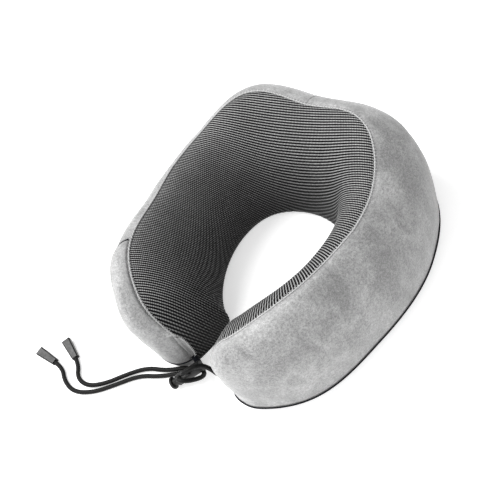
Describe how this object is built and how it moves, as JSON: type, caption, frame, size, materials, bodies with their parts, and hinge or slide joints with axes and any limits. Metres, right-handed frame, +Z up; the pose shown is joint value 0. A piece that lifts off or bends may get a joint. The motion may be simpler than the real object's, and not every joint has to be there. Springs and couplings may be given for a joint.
{
  "type": "u shaped neck pillow",
  "caption": "U shaped memory-foam travel neck pillow with velour sides, a ribbed knit neck panel, a zipped cover and elastic front cords joined by a sprung cord lock.",
  "frame": {"origin": "centre of the pillow's footprint on the surface it rests on, cords and lock left out", "axes": "+Z up, +Y towards the back of the wearer's neck, the two tips meet towards -Y, +X towards the arm without the pocket"},
  "size_m": [0.2952, 0.3358, 0.1212],
  "materials": {
    "foam": "matte",
    "liner_knit": "matte",
    "velour": "matte",
    "neck_mesh": "matte",
    "base_fabric": "matte",
    "piping": "matte",
    "dark_trim": "matte",
    "zip_tape": "matte",
    "zip_coil": "satin",
    "zip_metal": "satin",
    "cord": "matte",
    "cord_end_plastic": "gloss",
    "lock_plastic": "satin",
    "spring_steel": "satin"
  },
  "bodies": {
    "pillow": {"foam_core": "foam", "inner_liner": "liner_knit", "neck_panel": "neck_mesh", "outer_panel_left": "velour", "outer_panel_right": "velour", "base_panel": "base_fabric", "rim_piping": "piping", "base_piping": "dark_trim", "pocket_panel": "velour", "pocket_binding": "dark_trim", "zip_tape_upper": "zip_tape", "zip_tape_lower": "zip_tape", "zip_coil": "zip_coil", "zip_stops": "zip_metal", "cord_tab_left": "dark_trim", "cord_tab_right": "dark_trim", "cord_left": "cord", "cord_right": "cord", "cord_cap_left": "cord_end_plastic", "cord_cap_right": "cord_end_plastic"},
    "zip_slider_body": {"zip_slider": "zip_metal"},
    "zip_pull_body": {"zip_pull": "zip_metal"},
    "cord_lock": {"lock_barrel": "lock_plastic", "lock_spring": "spring_steel"},
    "lock_button": {"lock_plunger": "lock_plastic"}
  },
  "joints": [
    {"name": "zip_slide", "type": "slide", "parent": "pillow", "child": "zip_slider_body", "axis": [-1, 0, 0], "range_m": [0, 0.086]},
    {"name": "pull_swing", "type": "hinge", "parent": "zip_slider_body", "child": "zip_pull_body", "pos_m": [0.0429, 0.13765, 0.016], "axis": [0, 0, -1], "range_deg": [0, 170]},
    {"name": "lock_slide", "type": "slide", "parent": "pillow", "child": "cord_lock", "axis": [0.1893, -0.5047, 0.8423], "range_m": [0, 0.009]},
    {"name": "button_press", "type": "slide", "parent": "cord_lock", "child": "lock_button", "axis": [0.613, 0.731, 0.3], "range_m": [0, 0.0035], "stiffness_N_per_m": 300, "springref_m": -0.001, "deforming": ["lock_spring"]}
  ]
}
